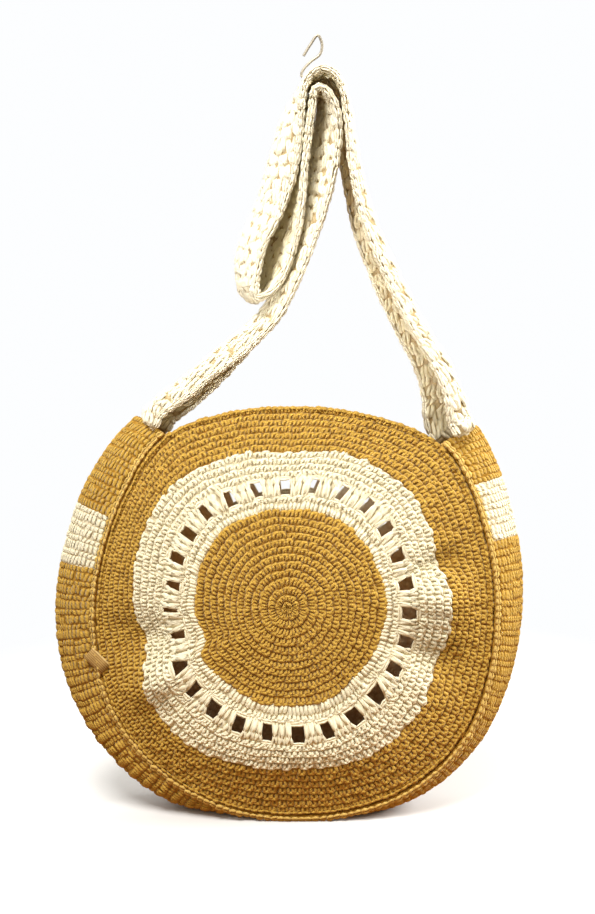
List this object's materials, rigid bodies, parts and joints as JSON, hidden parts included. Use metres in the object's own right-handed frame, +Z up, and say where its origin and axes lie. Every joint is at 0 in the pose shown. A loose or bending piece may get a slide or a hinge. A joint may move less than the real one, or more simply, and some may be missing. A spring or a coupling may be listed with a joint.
{
  "type": "crochet bag on wall hook",
  "caption": "Round shoulder bag of two crochet discs and a gusset, hanging by a long crochet strap looped twice over a bent-wire wall hook.",
  "frame": {"origin": "middle of the hook plate's back face, on the wall plane", "axes": "+Z up, +Y into the wall, -Y out of the wall towards the viewer, +X to the right as seen from the front"},
  "size_m": [0.3361, 0.0938, 0.548],
  "materials": {
    "panel_yarn": "matt cotton crochet, mustard and cream rounds",
    "strap_yarn": "matt cotton crochet, cream",
    "label_ribbon": "flat woven ribbon",
    "clear_plate": "clear moulded plastic",
    "hook_steel": "bright wire"
  },
  "bodies": {
    "root": {"front_panel": "panel_yarn", "back_panel": "panel_yarn", "gusset": "panel_yarn", "front_seam": "panel_yarn", "back_seam": "panel_yarn", "strap": "strap_yarn", "side_label": "label_ribbon", "hook_plate": "clear_plate", "hook_wire": "hook_steel"}
  },
  "joints": []
}
